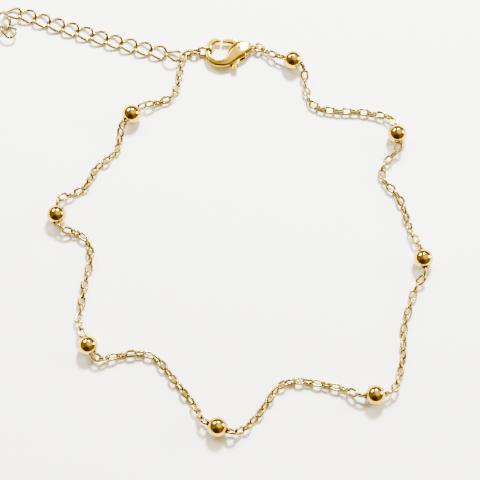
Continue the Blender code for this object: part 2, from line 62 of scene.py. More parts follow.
# Beads
BEAD_DIAMETER = 4.0 * MM
BEAD_WALL = 0.35 * MM
BEAD_HOLE = 1.8 * MM
BEAD_SEGMENTS = 48
BEAD_RINGS = 27
BEAD_RIM_BEVEL = 0.09 * MM
BEAD_RIM_STEPS = 3
BEAD_RIM_ANGLE = 50
BEAD_SMOOTH_ANGLE = 60

# Fine chain: FINE_FILL is what the finished wire has over the solids'
LINK_LENGTH = 2.48 * MM
LINK_WIDTH = 1.8 * MM
LINK_WIRE = 0.37 * MM
SOLDER_BITE = 0.04 * MM
LINK_STEPS = 24
WIRE_STEPS = 10
FINE_FILL = 0.19 * MM
LINK_GAP = 0.17 * MM
BORE_CLEARANCE = 0.18 * MM
BEAD_LEAD = 1.2 * MM

# How the chain lies
FLOOR_GAP = 0.02 * MM
RISE_LINKS = 3
CURVE_STEPS = 24

# End link, jump ring and extender: HEAVY_FILL is what their finished wires have over the solids'
HEAVY_FILL = 0.19 * MM
HEAVY_STEPS = 40
END_LINK_LENGTH = 3.5 * MM
END_LINK_WIDTH = 2.5 * MM
END_LINK_WIRE = 0.42 * MM
HOOK_SECTION = 3
HOOK_GAP = 0.18 * MM
HOOK_DROP = 0.14 * MM
RING_DIAMETER = 2.4 * MM
RING_WIRE = 0.4 * MM
EXTENDER_PITCH = 3.25 * MM
EXTENDER_WIDTH = 3.3 * MM
EXTENDER_WIRE = 0.4 * MM
EXTENDER_TWIST = 84.0
EXTENDER_GAP = 0.17 * MM
EXTENDER_LINKS = 14
CORNER_LINK = -3
CORNER_OFFSET = Vector((-0.6, 0.0, 0.15)) * MM
CORNER_ROLL = 30.0

# Lobster clasp: the ridges and BLUNT_END are creases of its bars' long edges and end edges
CLASP_LENGTH = 10.0 * MM
CLASP_WIDTH = 6.6 * MM
CLASP_BODY_WIDTH = 3.2 * MM
CLASP_THICKNESS = 2.3 * MM
CLASP_RIDGE = 0.6
CLASP_FULLNESS = 1.13
BLUNT_END = 0.75
EYE_DIAMETER = 1.9 * MM
EYE_WIRE = 0.5 * MM
EYE_SINK = 0.35 * MM
EYE_WIRE_STEPS = 14
PIN_DIAMETER = 0.7 * MM
PIN_GAP = 0.15 * MM
PIN_BEVEL = 0.12 * MM
PIN_BEVEL_STEPS = 4
SLOT_HEIGHT = 1.1 * MM
SLOT_BEFORE_PIN = 2.0 * MM
SLOT_PAST_PIN = 1.1 * MM
LEVER_THICKNESS = 0.8 * MM
LEVER_BOSS = 1.7 * MM
LEVER_RIDGE = 0.55
BAR_SIDES = 8
BAR_FLAT = 0.6
SOFTEN_LEVELS = 3
CLASP_SMOOTH_ANGLE = 35

# Camera and table: the sensor is in millimetres
CAMERA_ELEVATION = 70.0
CAMERA_DISTANCE = 300.0 * MM
CAMERA_FOCAL_PIXELS = 1485.0
PHOTO_PIXELS = 480.0
SENSOR = 36.0
CLIP_START = 0.01
CLIP_END = 5.0
TABLE_SIZE = 1.2
TABLE_TONES = [(0.3, (0.93, 0.925, 0.91)), (0.7, (0.96, 0.955, 0.945))]
TABLE_ROUGHNESS = 0.7

# Finishes: the polished colour, the deeper one in its clouds, and how rough and how uneven it is
Gold = namedtuple("Gold", "colour deep roughness relief")
WIRE_GOLD = Gold((0.46, 0.32, 0.055), (0.24, 0.16, 0.02), 0.16, 0.25)
BEAD_GOLD = Gold((0.70, 0.47, 0.075), (0.56, 0.35, 0.04), 0.07, 0.12)
CLASP_GOLD = Gold((0.74, 0.53, 0.02), (0.60, 0.39, 0.015), 0.12, 0.15)
CLOUD_SCALE = 420.0
CLOUD_DETAIL = 3.0
CLOUD_EDGES = (0.35, 0.65)
CLOUD_ROUGHNESS = 0.05
MARK_SCALE = 5200.0
MARK_DETAIL = 2.0
MARK_HEIGHT = 0.3
MARK_ROUGHNESS = 0.06
GRAIN_SCALE = 900.0
GRAIN_DETAIL = 3.0
BUMP_DEPTH = 0.02 * MM

# Soft boxes, each so many degrees round from +X and above the table
SoftBox = namedtuple("SoftBox", "name azimuth elevation size power colour")
SOFT_BOXES = [
    SoftBox("key_box", 76, 49, (0.13, 0.10), 25.0, (0.94, 0.97, 1.0)),
    SoftBox("left_box", 132, 42, (0.30, 0.20), 4.8, (1.0, 0.95, 0.84)),
    SoftBox("right_box", 12, 20, (0.18, 0.16), 5.8, (1.0, 0.97, 0.90)),
]
SOFT_BOX_DISTANCE = 0.6

# The room: its walls' tones from the table's height up to the ceiling, a warm glow high at the right
# and a dark patch in front
WALL_TONES = [
    (0.0, (0.60, 0.46, 0.28)),
    (0.18, (0.30, 0.20, 0.09)),
    (0.5, (0.40, 0.28, 0.14)),
    (0.95, (0.46, 0.33, 0.17)),
]
Patch = namedtuple("Patch", "azimuth elevation reach colour")
PATCHES = [
    Patch(28, 66, 38, (2.5, 1.9, 0.5)),
    Patch(252, 30, 42, (0.08, 0.05, 0.025)),
]

Stop = namedtuple("Stop", "kind x y heading roll drift")

# The chain's route, as the solids have it.
ROUTE = [
    Stop("clasp", 4.58, 42.5, 0, 90, 0),
    Stop("way", 6.6, 41.3, 0, 0, 0),
    Stop("bead", 11.1, 39.4, -20, 90, 10),
    Stop("way", 13.6, 37.4, 0, 0, 0),
    Stop("way", 14.1, 33.6, 0, 0, 0),
    Stop("way", 15.6, 30.2, 0, 0, 0),
    Stop("way", 19.8, 28.7, 0, 0, 0),
    Stop("way", 25.0, 28.2, 0, 0, 0),
    Stop("way", 30.0, 26.9, 0, 0, 0),
    Stop("bead", 32.4, 22.5, -80, 0, 45),
    Stop("way", 31.3, 18.0, 0, 0, 0),
    Stop("way", 29.3, 15.3, 0, 0, 0),
    Stop("way", 29.6, 12.6, 0, 0, 0),
    Stop("way", 32.5, 8.9, 0, 0, 0),
    Stop("way", 34.0, 3.6, 0, 0, 0),
    Stop("way", 34.9, 0.2, 0, 0, 0),
    Stop("bead", 36.6, -4.7, -80, 90, 20),
    Stop("way", 35.3, -9.8, 0, 0, 0),
    Stop("way", 33.6, -14.6, 0, 0, 0),
    Stop("way", 32.3, -19.2, 0, 0, 0),
    Stop("way", 32.0, -24.0, 0, 0, 0),
    Stop("way", 30.8, -28.9, 0, 0, 0),
    Stop("bead", 26.2, -32.6, 187, 90, 0),
    Stop("way", 21.5, -31.8, 0, 0, 0),
    Stop("way", 16.4, -30.6, 0, 0, 0),
    Stop("way", 11.3, -30.1, 0, 0, 0),
    Stop("way", 7.7, -31.2, 0, 0, 0),
    Stop("way", 4.6, -35.2, 0, 0, 0),
    Stop("way", 1.7, -38.3, 0, 0, 0),
    Stop("bead", -4.3, -38.9, 159, 45, 0),
    Stop("way", -8.7, -34.8, 0, 0, 0),
    Stop("way", -13.2, -29.4, 0, 0, 0),
    Stop("way", -16.6, -25.4, 0, 0, 0),
    Stop("way", -19.6, -24.3, 0, 0, 0),
    Stop("way", -24.5, -24.7, 0, 0, 0),
    Stop("bead", -29.7, -22.7, 116, 0, 30),
    Stop("way", -31.8, -17.6, 0, 0, 0),
    Stop("way", -31.6, -13.5, 0, 0, 0),
    Stop("way", -31.3, -9.0, 0, 0, 0),
    Stop("way", -30.7, -4.2, 0, 0, 0),
    Stop("way", -32.0, 0.0, 0, 0, 0),
    Stop("way", -35.0, 1.5, 0, 0, 0),
    Stop("bead", -37.0, 4.7, 90, 90, 40),
    Stop("way", -35.5, 9.0, 0, 0, 0),
    Stop("way", -32.0, 11.4, 0, 0, 0),
    Stop("way", -30.0, 15.2, 0, 0, 0),
    Stop("way", -26.4, 18.9, 0, 0, 0),
    Stop("way", -24.9, 22.4, 0, 0, 0),
    Stop("bead", -22.4, 27.0, 47, 58, 60),
    Stop("way", -18.7, 29.6, 0, 0, 0),
    Stop("way", -14.4, 31.3, 0, 0, 0),
    Stop("way", -13.0, 34.4, 0, 0, 0),
    Stop("way", -12.5, 38.4, 0, 0, 0),
    Stop("way", -12.1, 40.9, 0, 0, 0),
    Stop("way", -10.6, 41.8, 0, 0, 0),
    Stop("hook", -8.65, 41.8, 0, -32, 0),
    Stop("tail", -17.0, 41.9, 0, 0, 0),
    Stop("tail", -26.5, 44.4, 0, 0, 0),
    Stop("tail", -35.6, 47.3, 0, 0, 0),
    Stop("tail", -46.3, 50.9, 0, 0, 0),
]

# The extender's last links, curled up: turn from the one before, climb in millimetres and roll.
CurlLink = namedtuple("CurlLink", "turn climb roll")
CURL = [
    CurlLink(22, 0.35, 21),
    CurlLink(81, 0.0, -22),
    CurlLink(57, 0.45, -25),
]

# Clasp sections from the hook's tip round to the nose, with a fuller body and blunter ends than the solids'.
ClaspSection = namedtuple("ClaspSection", "along across width thickness")
CLASP_SECTIONS = [
    ClaspSection(-0.400, 0.322, 0.25, 0.40),
    ClaspSection(-0.530, 0.305, 0.32, 0.42),
    ClaspSection(-0.635, 0.165, 0.32, 0.42),
    ClaspSection(-0.680, -0.065, 0.32, 0.42),
    ClaspSection(-0.655, -0.290, 0.33, 0.47),
    ClaspSection(-0.570, -0.445, 0.35, 0.60),
    ClaspSection(-0.425, -0.520, 0.40, 0.77),
    ClaspSection(-0.255, -0.455, 0.54, 0.90),
    ClaspSection(-0.100, -0.195, 0.92, 1.00),
    ClaspSection(0.030, -0.015, 1.14, 1.00),
    ClaspSection(0.150, 0.050, 0.84, 0.90),
    ClaspSection(0.250, 0.070, 0.42, 0.70),
]

# Lever sections from the gate's tip to the end of the tab.
LeverSection = namedtuple("LeverSection", "along across width")
LEVER_SECTIONS = [
    LeverSection(-0.371, 0.287, 0.44),
    LeverSection(-0.220, 0.288, 0.62),
    LeverSection(-0.070, 0.215, 0.76),
    LeverSection(0.000, 0.000, 0.80),
    LeverSection(-0.050, -0.240, 0.72),
    LeverSection(-0.100, -0.500, 0.76),
    LeverSection(-0.112, -0.710, 0.78),
]


# Where the chain runs


def smooth_curve(points):
    """A Catmull-Rom curve through the points, as closely spaced points."""
    padded = [2 * points[0] - points[1], *points, 2 * points[-1] - points[-2]]
    curve = []
    for a, b, c, d in zip(padded, padded[1:], padded[2:], padded[3:]):
        for i in range(CURVE_STEPS):
            t = i / CURVE_STEPS
            square = (2 * a - 5 * b + 4 * c - d) * t**2
            cube = (3 * b - a - 3 * c + d) * t**3
            curve.append(0.5 * (2 * b + (c - a) * t + square + cube))
    curve.append(points[-1])
    return curve


def bowed(points, bow):
    """The same ends, with the points between them moved off the straight line by a factor."""
    start, end = points[0], points[-1]
    line = (end - start).normalized()
    moved = [start]
    for point in points[1:-1]:
        foot = start + line * (point - start).dot(line)
        moved.append(foot + bow * (point - foot))
    return [*moved, end]


def walk(curve, chords):
    """Places along a curve, each a chord on from the one before, and how far past the end the last one is."""
    curve = [*curve, curve[-1] + RUN_ON * (curve[-1] - curve[-2]).normalized()]
    here, index = curve[0], 0
    places = [here]
    for chord in chords:
        while (curve[index + 1] - here).length < chord:
            index += 1
        a, b = curve[index], curve[index + 1]
        low, high = 0.0, 1.0
        for _ in range(HALVINGS):
            middle = (low + high) / 2
            if (a.lerp(b, middle) - here).length < chord:
                low = middle
            else:
                high = middle
        here = a.lerp(b, low)
        places.append(here)
    end = curve[-2]
    past = (here - end).length
    return places, past if index == len(curve) - 2 else -past


def fine_pitch():
    return LINK_LENGTH - 2 * LINK_WIRE + SOLDER_BITE


def lie_height(roll):
    half = (LINK_WIDTH - LINK_WIRE) / 2
    return half * abs(math.sin(math.radians(roll))) + LINK_WIRE / 2 + FLOOR_GAP


def stretch_rolls(first, last, count):
    """The roll of each link, a quarter turn on from the one before, eased to suit what the last meets."""
    shares = [i / (count - 1) for i in range(count)]
    drifts = [first.drift * math.sin(math.pi * share) for share in shares]
    rolls = [first.roll + 90 * i + drift for i, drift in enumerate(drifts)]
    short = (last.roll - rolls[-1] + 90) % 180 - 90
    return [roll + short * share for roll, share in zip(rolls, shares)]


def joint_heights(rolls, start_height, end_height):
    """The height of each joint: resting on the table, and rising to what each end hangs on."""
    lies = [lie_height(roll) for roll in rolls]
    rest = [max(pair) for pair in zip([lies[0], *lies], [*lies, lies[-1]])]
    heights = []
    for i, height in enumerate(rest):
        for distance, end in ((i, start_height), (len(rest) - 1 - i, end_height)):
            t = min(distance / RISE_LINKS, 1.0)
            height += (end - height) * (1 - t * t * (3 - 2 * t))
        heights.append(height)
    return heights


def lay_links(first, last, points, start_height, end_height):
    """Joints of whole links from the first point to the last, bowed until they just fit."""
    curve = smooth_curve(points)
    length = sum((b - a).length for a, b in zip(curve, curve[1:]))
    pitch = fine_pitch()
    count = round(length / pitch)
    while True:
        rolls = stretch_rolls(first, last, count)
        heights = joint_heights(rolls, start_height, end_height)
        chords = [math.sqrt(pitch**2 - (b - a) ** 2) for a, b in zip(heights, heights[1:])]
        if sum(chords) > (points[-1] - points[0]).length:
            break
        count += 1
    low, high = 0.0, MOST_BOW
    for _ in range(HALVINGS):
        bow = (low + high) / 2
        places, past = walk(smooth_curve(bowed(points, bow)), chords)
        if past > 0:
            low = bow
        else:
            high = bow
    return [Vector((p.x, p.y, z)) for p, z in zip(places, heights)], rolls


def toward(azimuth, elevation=0.0):
    """The direction that lies so many degrees round from +X and above the table."""
    turn, lift = math.radians(azimuth), math.radians(elevation)
    return Vector((math.cos(turn) * math.cos(lift), math.sin(turn) * math.cos(lift), math.sin(lift)))


def middle_of(node):
    low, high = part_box(node)
    return (low + high) / 2


def bead_stops():
    return [stop for stop in ROUTE if stop.kind == "bead"]


def photo_place():
    """What moves the route's places on to the frame: where the fifth bead is in both."""
    stop = bead_stops()[4]
    place = middle_of("bead_5") - Vector((stop.x, stop.y, 0)) * MM
    place.z -= BEAD_DIAMETER / 2
    return place


SHIFT = photo_place()


def plan(stop):
    return Vector((stop.x, stop.y, 0)) * MM + SHIFT


def on_bead_axis(bead, away):
    return plan(bead) + toward(bead.heading) * away + Vector((0, 0, BEAD_DIAMETER / 2))


def stretches():
    """The route cut at its beads: (first stop, the points after it, last stop)."""
    stops = [stop for stop in ROUTE if stop.kind != "tail"]
    ends = [i for i, stop in enumerate(stops) if stop.kind != "way"]
    return [(stops[a], stops[a + 1 : b], stops[b]) for a, b in zip(ends, ends[1:])]


def end_link_reach():
    return END_LINK_LENGTH / 2 - END_LINK_WIRE


def hook_place():
    """The chain's last joint, so far from the hook's band that the end link goes round it."""
    band = CLASP_SECTIONS[HOOK_SECTION]
    inside = band.along * CLASP_LENGTH + band.width * CLASP_BODY_WIDTH / 2 + HOOK_GAP
    place = Vector((inside - 2 * end_link_reach() + LINK_GAP, band.across * CLASP_WIDTH - HOOK_DROP, 0))
    return middle_of("clasp_pin") + place


def lay_stretch(first, ways, last):
    """The joints and rolls of one stretch's links, between what it hangs on at its two ends."""
    points = [plan(way) for way in ways]
    heights = []
    for stop, side in ((first, 1), (last, -1)):
        ends = [hook_place() if stop.kind == "hook" else plan(stop)]
        if stop.kind == "bead":
            axis = side * toward(stop.heading)
            ends = [ends[0] + axis * (BEAD_DIAMETER / 2 + lead) for lead in (0, BEAD_LEAD)]
        points = ends + points if stop is first else points + ends[::-1]
        heights.append(BEAD_DIAMETER / 2 if stop.kind == "bead" else CLASP_THICKNESS / 2)
    return lay_links(first, last, points, *heights)


def link_matrix(start, end, roll):
    """A frame at the middle of two joints: x along the link, y across it, rolled from lying flat."""
    along = (end - start).normalized()
    across = Vector((0, 0, 1)).cross(along).normalized()
    across = Matrix.Rotation(math.radians(roll), 3, along) @ across
    matrix = Matrix((along, across, along.cross(across))).transposed().to_4x4()
    matrix.translation = (start + end) / 2
    return matrix


# Modelling


def named(name):
    obj = bpy.context.object
    obj.name = name
    obj.data.name = name
    return obj


def make_active(obj):
    """Selects one object alone, as the active one."""
    bpy.ops.object.select_all(action="DESELECT")
    obj.select_set(True)
    bpy.context.view_layer.objects.active = obj


def open_edit(obj, mode="VERT"):
    """Edit mode on one object with nothing selected."""
    make_active(obj)
    bpy.ops.object.mode_set(mode="EDIT")
    bpy.ops.mesh.select_mode(type=mode)
    bpy.ops.mesh.select_all(action="DESELECT")


def pick(obj, test):
    """Selects the vertices, or in edge mode the edges, that pass a test."""
    mesh = bmesh.from_edit_mesh(obj.data)
    in_vertex_mode = bpy.context.tool_settings.mesh_select_mode[0]
    for item in mesh.verts if in_vertex_mode else mesh.edges:
        item.select_set(bool(test(item)))
    mesh.select_flush_mode()
    bmesh.update_edit_mesh(obj.data)


def close_edit():
    bpy.ops.object.mode_set(mode="OBJECT")


def finish_modifier(obj, modifier):
    make_active(obj)
    bpy.ops.object.modifier_apply(modifier=modifier.name)


def shade(obj, degrees=SMOOTH_ANGLE):
    make_active(obj)
    bpy.ops.object.shade_smooth_by_angle(angle=math.radians(degrees))


def set_down(obj, matrix):
    """Puts the object's place into its mesh."""
    obj.data.transform(matrix)
    obj.data.update()
    return obj


def copy_of(pattern, name, matrix):
    """A copy with its own mesh, put in place."""
    copy = pattern.copy()
    copy.data = pattern.data.copy()
    copy.name = name
    copy.data.name = name
    bpy.context.scene.collection.objects.link(copy)
    return set_down(copy, matrix)


def join(pieces, name):
    bpy.ops.object.select_all(action="DESELECT")
    for piece in pieces:
        piece.select_set(True)
    bpy.context.view_layer.objects.active = pieces[0]
    bpy.ops.object.join()
    return named(name)


def remove(obj):
    bpy.data.objects.remove(obj, do_unlink=True)


def oval_link(name, reach, width, wire, fill, steps, twist=0.0):
    """A torus drawn out along x to the solid link's outline, its wire filled inward, and twisted if asked."""
    reach -= fill
    wire += fill
    ring_radius = (width - wire) / 2
    bpy.ops.mesh.primitive_torus_add(
        major_radius=ring_radius,
        minor_radius=wire / 2,
        major_segments=steps,
        minor_segments=WIRE_STEPS,
    )
    link = named(name)
    stretch = reach + wire / 2 - ring_radius
    for side in (-1, 1):
        open_edit(link)
        pick(link, lambda vert: side * vert.co.x > TINY)
        bpy.ops.transform.translate(value=(side * stretch, 0, 0))
        close_edit()
    if twist:
        turn = link.modifiers.new("twist", "SIMPLE_DEFORM")
        turn.deform_method = "TWIST"
        turn.deform_axis = "X"
        turn.angle = math.radians(twist)
        finish_modifier(link, turn)
    shade(link)
    return link


def fine_links():
    """Each stretch's joints and rolls, and its links with the long link of the bead before as one piece."""
    pitch = fine_pitch()
    wire = (LINK_WIRE, FINE_FILL, LINK_STEPS)
    link = oval_link("link_pattern", (pitch - SOLDER_BITE) / 2, LINK_WIDTH, *wire)
    long_reach = BEAD_DIAMETER / 2 - SOLDER_BITE / 2 + LINK_GAP / 2
    long_width = BEAD_HOLE - 2 * BORE_CLEARANCE
    long_link = oval_link("long_link_pattern", long_reach, long_width, *wire)
    laid, pieces = [], []
    for number, (first, ways, last) in enumerate(stretches(), 1):
        joints, rolls = lay_stretch(first, ways, last)
        laid.append((joints, rolls))
        places = [link_matrix(a, b, roll) for a, b, roll in zip(joints, joints[1:], rolls)]
        links = [copy_of(link, f"link_{number}_{i}", place) for i, place in enumerate(places)]
        if first.kind == "bead":
            before = on_bead_axis(first, -BEAD_DIAMETER / 2 - LINK_GAP)
            after = on_bead_axis(first, BEAD_DIAMETER / 2)
            inside = link_matrix(before, after, first.roll - 90)
            links.append(copy_of(long_link, f"long_{number}", inside))
        pieces.append(join(links, f"chain_{number}_links"))
    remove(link)
    remove(long_link)
    return laid, pieces


def extender_places(corner):
    """Each link's frame: the first at the chain's corner, then along the route's tail, then the curl."""
    start = Vector((corner.x + CORNER_OFFSET.x, corner.y + CORNER_OFFSET.y, 0))
    points = [start, *(plan(stop) for stop in ROUTE if stop.kind == "tail")]
    joints, _ = walk(smooth_curve(points), [EXTENDER_PITCH] * (EXTENDER_LINKS - len(CURL)))
    rolls = [CORNER_ROLL] + [0] * (len(joints) - 2)
    places = [link_matrix(a, b, roll) for a, b, roll in zip(joints, joints[1:], rolls)]
    here, ahead = joints[-1], (joints[-1] - joints[-2]).normalized()
    for link in CURL:
        climb = link.climb * MM
        ahead = Matrix.Rotation(math.radians(link.turn), 3, "Z") @ ahead
        there = here + ahead * math.sqrt(EXTENDER_PITCH**2 - climb**2)
        places.append(link_matrix(here, there + Vector((0, 0, climb)), link.roll))
        here = there
    return places


def extender_links(corner):
    """Twisted links, each let down on to the table, and the first a little above it to pass the chain."""
    reach = (EXTENDER_PITCH + EXTENDER_GAP) / 2
    wire = (EXTENDER_WIRE, HEAVY_FILL, HEAVY_STEPS)
    pattern = oval_link("extender_pattern", reach, EXTENDER_WIDTH, *wire, EXTENDER_TWIST)
    rise = CORNER_OFFSET.z
    made = []
    for number, place in enumerate(extender_places(corner), 1):
        lowest = min((place @ vert.co).z for vert in pattern.data.vertices)
        down = Matrix.Translation((0, 0, FLOOR_GAP + rise - lowest))
        made.append(copy_of(pattern, f"extender_{number:02d}_wire", down @ place))
        rise = 0
    remove(pattern)
    return made


def bead_pattern():
    """A hollow ball along z: its caps are cut away, its wall gets a thickness and its rims are eased."""
    radius = BEAD_DIAMETER / 2
    bpy.ops.mesh.primitive_uv_sphere_add(segments=BEAD_SEGMENTS, ring_count=BEAD_RINGS, radius=radius)
    bead = named("bead_pattern")
    rim = math.sqrt(radius**2 - (BEAD_HOLE / 2) ** 2)
    open_edit(bead)
    pick(bead, lambda vert: abs(vert.co.z) > rim + TINY)
    bpy.ops.mesh.delete(type="VERT")
    close_edit()
    wall = bead.modifiers.new("wall", "SOLIDIFY")
    wall.thickness = BEAD_WALL
    wall.offset = -1
    finish_modifier(bead, wall)
    ease = bead.modifiers.new("ease", "BEVEL")
    ease.width = BEAD_RIM_BEVEL
    ease.segments = BEAD_RIM_STEPS
    ease.limit_method = "ANGLE"
    ease.angle_limit = math.radians(BEAD_RIM_ANGLE)
    finish_modifier(bead, ease)
    shade(bead, BEAD_SMOOTH_ANGLE)
    return bead


def beads():
    pattern = bead_pattern()
    made = []
    for number, stop in enumerate(bead_stops(), 1):
        turn = Vector((0, 0, 1)).rotation_difference(toward(stop.heading)).to_matrix().to_4x4()
        place = Matrix.Translation(plan(stop) + Vector((0, 0, BEAD_DIAMETER / 2))) @ turn
        made.append(copy_of(pattern, f"bead_{number}_shell", place))
    remove(pattern)
    return made


def bent_bar(name, sections, widths, heights, ridge):
    """A straight eight-sided bar, extruded through its sections, softened and bent along their middles."""
    centres = [Vector((s.along * CLASP_LENGTH, s.across * CLASP_WIDTH, 0)) for s in sections]
    path = smooth_curve(centres)
    stations = [0.0]
    for i in range(len(centres) - 1):
        run = path[i * CURVE_STEPS : (i + 1) * CURVE_STEPS + 1]
        stations.append(stations[-1] + sum((b - a).length for a, b in zip(run, run[1:])))
    half_side = math.pi / BAR_SIDES
    radius = 0.5 / math.cos(half_side)
    bpy.ops.mesh.primitive_circle_add(vertices=BAR_SIDES, radius=radius, fill_type="NGON")
    bar = named(name)
    set_down(bar, Matrix.Rotation(math.pi / 2, 4, "Y") @ Matrix.Rotation(half_side, 4, "Z"))
    flats = BAR_FLAT / math.tan(half_side)
    # Half way between a corner's two distances from the middle
    between_corners = (0.5 + 0.5 * math.tan(half_side)) / 2
    for axis in (1, 2):
        open_edit(bar)
        pick(bar, lambda vert: abs(vert.co[axis]) < between_corners)
        grow = [1, 1, 1]
        grow[axis] = flats
        bpy.ops.transform.resize(value=grow, center_override=(0, 0, 0))
        close_edit()
    open_edit(bar, "FACE")
    bpy.ops.mesh.select_all(action="SELECT")
    bpy.ops.transform.resize(value=(1, widths[0], heights[0]), center_override=(0, 0, 0))
    for i in range(1, len(stations)):
        step = stations[i] - stations[i - 1]
        bpy.ops.mesh.extrude_region_move(TRANSFORM_OT_translate={"value": (step, 0, 0)})
        grow = (1, widths[i] / widths[i - 1], heights[i] / heights[i - 1])
        bpy.ops.transform.resize(value=grow, center_override=(stations[i], 0, 0))
    bpy.ops.mesh.select_all(action="SELECT")
    bpy.ops.mesh.normals_make_consistent(inside=False)
    bpy.ops.mesh.select_mode(type="EDGE")
    pick(bar, lambda edge: abs(edge.verts[0].co.x - edge.verts[1].co.x) > TINY)
    bpy.ops.transform.edge_crease(value=ridge)
    for end in (0.0, stations[-1]):
        pick(bar, lambda edge: all(abs(vert.co.x - end) < TINY for vert in edge.verts))
        bpy.ops.transform.edge_crease(value=BLUNT_END)
    close_edit()
    soften = bar.modifiers.new("soften", "SUBSURF")
    soften.levels = SOFTEN_LEVELS
    soften.render_levels = SOFTEN_LEVELS
    finish_modifier(bar, soften)
    guide = bpy.data.curves.new(name + "_guide", "CURVE")
    guide.dimensions = "2D"
    spline = guide.splines.new("POLY")
    spline.points.add(len(path) - 1)
    for spot, point in zip(spline.points, path):
        spot.co = (*point, 1)
    guide_object = bpy.data.objects.new(guide.name, guide)
    bpy.context.scene.collection.objects.link(guide_object)
    bend = bar.modifiers.new("bend", "CURVE")
    bend.object = guide_object
    finish_modifier(bar, bend)
    remove(guide_object)
    return bar


def cut_or_add(base, tool, operation):
    boolean = base.modifiers.new("boolean", "BOOLEAN")
    boolean.operation = operation
    boolean.object = tool
    finish_modifier(base, boolean)
    remove(tool)


def clasp_cylinder(name, diameter, height, bevel=0.0):
    bpy.ops.mesh.primitive_cylinder_add(vertices=ROUND_STEPS, radius=diameter / 2, depth=height)
    cylinder = named(name)
    if bevel:
        round_ends = cylinder.modifiers.new("round_ends", "BEVEL")
        round_ends.width = bevel
        round_ends.segments = PIN_BEVEL_STEPS
        round_ends.limit_method = "ANGLE"
        finish_modifier(cylinder, round_ends)
    return cylinder


def clasp_body():
    widths = [s.width * CLASP_BODY_WIDTH * CLASP_FULLNESS for s in CLASP_SECTIONS]
    heights = [s.thickness * CLASP_THICKNESS for s in CLASP_SECTIONS]
    body = bent_bar("clasp_casting", CLASP_SECTIONS, widths, heights, CLASP_RIDGE)
    nose = CLASP_SECTIONS[-1]
    eye_x = nose.along * CLASP_LENGTH + EYE_DIAMETER / 2 - EYE_SINK
    bpy.ops.mesh.primitive_torus_add(
        major_radius=(EYE_DIAMETER - EYE_WIRE) / 2,
        minor_radius=EYE_WIRE / 2,
        major_segments=ROUND_STEPS,
        minor_segments=EYE_WIRE_STEPS,
        rotation=(math.pi / 2, 0, 0),
        location=(eye_x, nose.across * CLASP_WIDTH, 0),
    )
    eye = named("eye")
    bpy.ops.object.transform_apply()
    cut_or_add(body, eye, "UNION")
    middle = (SLOT_PAST_PIN - SLOT_BEFORE_PIN) / 2
    bpy.ops.mesh.primitive_cube_add(size=1, location=(middle, 0, 0))
    slot = named("slot")
    slot.scale = (SLOT_BEFORE_PIN + SLOT_PAST_PIN, 2 * CLASP_WIDTH, SLOT_HEIGHT)
    bpy.ops.object.transform_apply()
    cut_or_add(body, slot, "DIFFERENCE")
    bore = clasp_cylinder("bore", PIN_DIAMETER + PIN_GAP / 2, 2 * CLASP_THICKNESS)
    cut_or_add(body, bore, "DIFFERENCE")
    shade(body, CLASP_SMOOTH_ANGLE)
    return body


def clasp_lever():
    widths = [s.width * LEVER_BOSS for s in LEVER_SECTIONS]
    heights = [LEVER_THICKNESS] * len(LEVER_SECTIONS)
    lever = bent_bar("clasp_gate", LEVER_SECTIONS, widths, heights, LEVER_RIDGE)
    boss = clasp_cylinder("boss", LEVER_BOSS, LEVER_THICKNESS)
    cut_or_add(lever, boss, "UNION")
    bore = clasp_cylinder("bore", PIN_DIAMETER + 2 * PIN_GAP, 2 * LEVER_THICKNESS)
    cut_or_add(lever, bore, "DIFFERENCE")
    shade(lever, CLASP_SMOOTH_ANGLE)
    return lever


# Materials


class Value:
    """A socket of a finish that takes part in arithmetic."""

    def __init__(self, finish, socket):
        self.finish = finish
        self.socket = socket

    def math(self, operation, first, second):
        return self.finish.node("ShaderNodeMath", {"operation": operation}, {0: first, 1: second})

    def __add__(self, other):
        return self.math("ADD", self, other)

    __radd__ = __add__

    def __mul__(self, other):
        return self.math("MULTIPLY", self, other)

    __rmul__ = __mul__

    def __sub__(self, other):
        return self.math("SUBTRACT", self, other)

    def __rsub__(self, other):
        return self.math("SUBTRACT", other, self)


class Finish:
    """The node tree of a material, or of the room round the table."""

    def __init__(self, owner):
        owner.use_nodes = True
        self.tree = owner.node_tree

    def node(self, kind, settings, sockets, output=0):
        """A node of a type: its settings first, then its sockets, each a number, a colour or a Value."""
        made = self.tree.nodes.new(kind)
        for key, setting in settings.items():
            if key == "stops":
                ramp = made.color_ramp
                while len(ramp.elements) < len(setting):
                    ramp.elements.new(0.5)
                for element, (position, colour) in zip(ramp.elements, setting):
                    element.position = position
                    element.color = (*colour, 1)
            else:
                setattr(made, key, setting)
        for key, value in sockets.items():
            self.put(made.inputs[key], value)
        return Value(self, made.outputs[output])

    def noise(self, place, scale, detail):
        return self.node("ShaderNodeTexNoise", {}, {"Vector": place, "Scale": scale, "Detail": detail})

    def put(self, socket, value):
        if isinstance(value, Value):
            self.tree.links.new(value.socket, socket)
        else:
            socket.default_value = value

    def shade_with(self, kind, **sockets):
        """Fills the sockets of the shader that is already there."""
        shader = self.tree.nodes[kind]
        for key, value in sockets.items():
            self.put(shader.inputs[key.replace("_", " ")], value)


